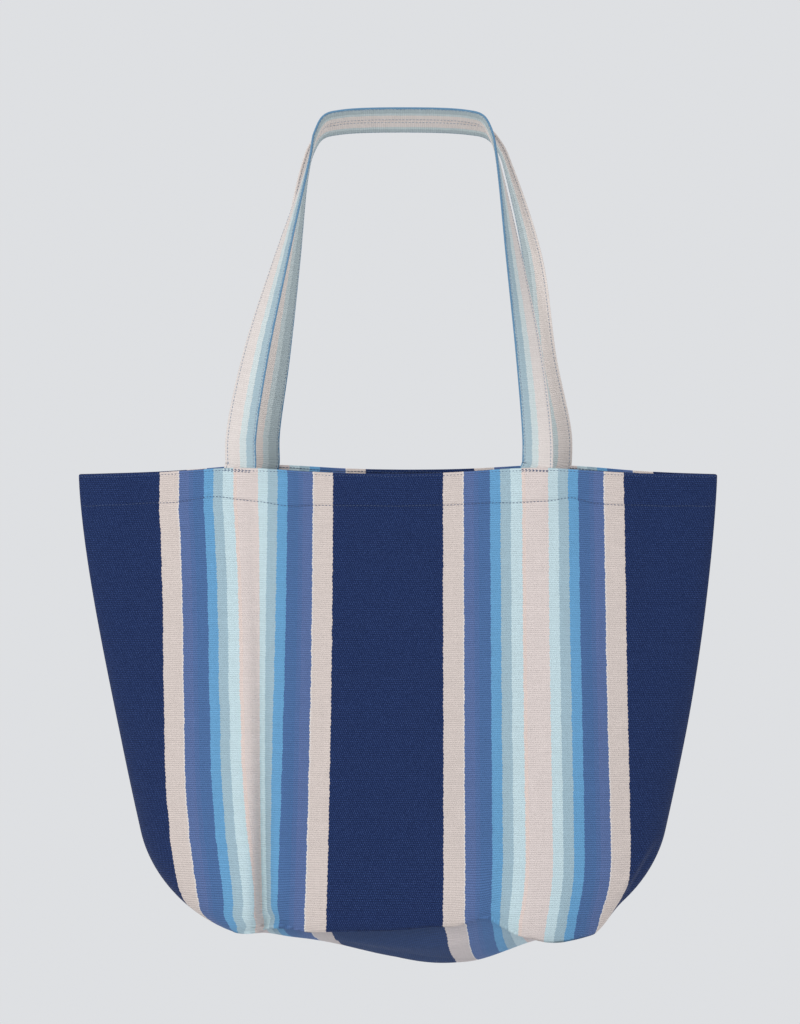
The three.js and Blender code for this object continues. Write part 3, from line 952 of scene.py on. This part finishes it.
def woven(shader, colour, shows, u, v, parts, depth):
    """Adds the weave to plain stripes of colour, and gives the surface its ribs.

    It shows as painted shade in the valleys between the ribs and as pale dots of warp, broken up by
    noise.
    """
    valley, number, warp = parts
    tone, speckle = streaks(shader, u, v, number)
    # painted shade in the valleys between the ribs, deepest in the stripes where the weave shows
    # most
    strength = shader.math("MULTIPLY_ADD", shows, -0.24, -0.06)
    shade = shader.math("MULTIPLY_ADD", valley, strength, 1.03)
    spots = shader.noise(shader.vector(u, v), 1.7, 1.0)
    dots = shader.math("MULTIPLY", shader.math("GREATER_THAN", warp, 0.2), shows)
    dots = shader.math("MULTIPLY", dots, shader.math("MULTIPLY_ADD", spots, 3.2, -1.2))
    dots = shader.add("ShaderNodeClamp", dots).outputs[0]
    colour = shader.mix(dots, colour, [*linear("fleck_navy"), 1.0])
    tone = shader.math("MULTIPLY", tone, shade)
    slubs = shader.math("MULTIPLY_ADD", flecks(shader, u, v), SLUB_TONE, 1.0)
    tone = shader.math("MULTIPLY", tone, slubs)
    height = shader.math("MULTIPLY_ADD", warp, 0.18, shader.math("SUBTRACT", speckle, valley))
    return shader.finish(shader.scaled(colour, tone), height, depth)


def body_material():
    """The body's stripes, painted paler and greyer on the base as its sheen."""
    shader = Shader("striped_cloth", CLOTH_ROUGH, CLOTH_SHEEN)
    u, v, painted_sheen = shader.attribute()
    parts = ribs(shader, u, v)
    place = shader.math("SUBTRACT", ragged(shader, u, v, parts[1]), STRIPES_FROM)
    share = shader.math("FRACT", shader.math("DIVIDE", place, sum(width for _, width in STRIPES)))
    colour, shows = stripe_ramp(shader, STRIPES, share)
    # painted sheen: the base is painted paler and greyer
    colour = shader.mix(shader.math("MULTIPLY", painted_sheen, BASE_SHEEN_PAINT), colour, [*linear("painted_sheen"), 1.0])
    return woven(shader, colour, shows, u, v, parts, BODY_BUMP)


def strap_material():
    """The handles' cloth: a blue edge, then pale stripes; the reverse has its own greyer stripes,
    painted paler for light bounced up from below.
    """
    shader = Shader("handle_cloth", CLOTH_ROUGH, CLOTH_SHEEN)
    u, v, reverse = shader.attribute()
    parts = ribs(shader, u, v)
    share = shader.math("DIVIDE", ragged(shader, u, v, parts[1]), HANDLE_WIDTH)
    face, _ = stripe_ramp(shader, STRAP_FACE, share)
    back, _ = stripe_ramp(shader, STRAP_BACK, share)
    return woven(shader, shader.mix(reverse, face, back), 0.0, u, v, parts, STRAP_BUMP)


def thread_material(name, colour):
    """Twisted sewing thread, with a slight unevenness."""
    shader = Shader(name, 0.65, 0.1)
    place = shader.add("ShaderNodeTexCoord").outputs["Object"]
    twist = shader.noise(place, 2200.0, 2.0)
    tone = shader.math("MULTIPLY_ADD", twist, 0.5, 0.75)
    return shader.finish(shader.scaled(linear(colour), tone), twist, 0.0002)


# ---- floor, light and camera ---------------------------------------------------------
ROOM_COLOUR, ROOM_LIGHT = (0.86, 0.875, 0.9, 1), 0.85
FLOOR_NEAR, FLOOR_FAR = 0.5, 1.9  # from where to where the floor fades away
FLOOR_Z, FLOOR_RADIUS = -1.05, 9
LIGHTS_AIM = (0, 0, -0.35)
# Name, place, size, watts and colour.
LIGHTS = [
    ("key", (-1.7, -2.6, 0.9), 1.8, 46, (1.0, 0.99, 0.97)),
    ("fill", (2.2, -2.0, -0.2), 2.2, 9, (0.97, 0.98, 1.0)),
    ("rear", (1.2, 2.8, 1.0), 2.0, 26, (1, 1, 1)),
]
CAMERA_AT, LENS, SENSOR = (0, -3.02, -0.326), 126, 36


def make_floor():
    bpy.ops.mesh.primitive_circle_add(
        vertices=96, radius=FLOOR_RADIUS, fill_type="NGON", location=(0, 0, FLOOR_Z))
    floor = bpy.context.object
    floor.name = "floor"
    floor.data.materials.append(floor_material())


def floor_material():
    """A pale floor that fades into the room's even light away from the bag."""
    shader = Shader("pale_floor", 0.95)
    shader.surface.inputs["Base Color"].default_value = [*linear("floor"), 1.0]
    place = shader.add("ShaderNodeTexCoord").outputs["Object"]
    away = shader.add("ShaderNodeVectorMath", place, operation="LENGTH").outputs["Value"]
    fade = shader.add("ShaderNodeMapRange", away, FLOOR_NEAR, FLOOR_FAR,
                      interpolation_type="SMOOTHSTEP")
    glow = shader.add("ShaderNodeEmission", ROOM_COLOUR, ROOM_LIGHT)
    surfaces = (fade.outputs[0], shader.surface.outputs[0], glow.outputs[0])
    both = shader.add("ShaderNodeMixShader", *surfaces)
    output = shader.tree.nodes["Material Output"]
    shader.put(output.inputs["Surface"], both.outputs[0])
    return shader.material


def area_light(name, place, size, energy, colour):
    """A round soft light, aimed at the bag."""
    light = bpy.data.lights.new(name, "AREA")
    light.shape = "DISK"
    light.size, light.energy, light.color = size, energy, colour
    lamp = bpy.data.objects.new(name, light)
    lamp.location = place
    direction = Vector(LIGHTS_AIM) - Vector(place)
    lamp.rotation_euler = direction.to_track_quat("-Z", "Y").to_euler()
    bpy.context.scene.collection.objects.link(lamp)


def make_lights():
    for light in LIGHTS:
        area_light(*light)
    world = bpy.data.worlds.new("pale_room")
    world.use_nodes = True
    background = world.node_tree.nodes["Background"]
    background.inputs["Color"].default_value = ROOM_COLOUR
    background.inputs["Strength"].default_value = ROOM_LIGHT
    bpy.context.scene.world = world
    bpy.context.scene.view_settings.view_transform = "Standard"


def make_camera():
    """Level, in front of the bag and a little above its middle."""
    lens = bpy.data.cameras.new("camera")
    lens.lens, lens.sensor_width = LENS, SENSOR
    camera = bpy.data.objects.new("camera", lens)
    camera.location = CAMERA_AT
    camera.rotation_euler = (math.pi / 2, 0, 0)
    bpy.context.scene.collection.objects.link(camera)
    bpy.context.scene.camera = camera


# ---- the scene -----------------------------------------------------------------------
def main():
    cloth, strap_cloth = body_material(), strap_material()
    thread = thread_material("sewing_thread", "thread")
    pale_thread = thread_material("overlock_thread", "overlock")
    strap_thread = thread_material("handle_thread", "strap_thread")
    body = make_body(cloth)
    make_seams(cloth, pale_thread)
    body_threads = make_body_stitches(thread)
    for side, name in SIDES.items():
        make_strap(side, strap_cloth)
        rows = make_strap_stitches(side, strap_thread)
        free = line_length(handle_line(side)) + 2 * HANDLE_END
    make_floor()
    make_lights()
    make_camera()


main()
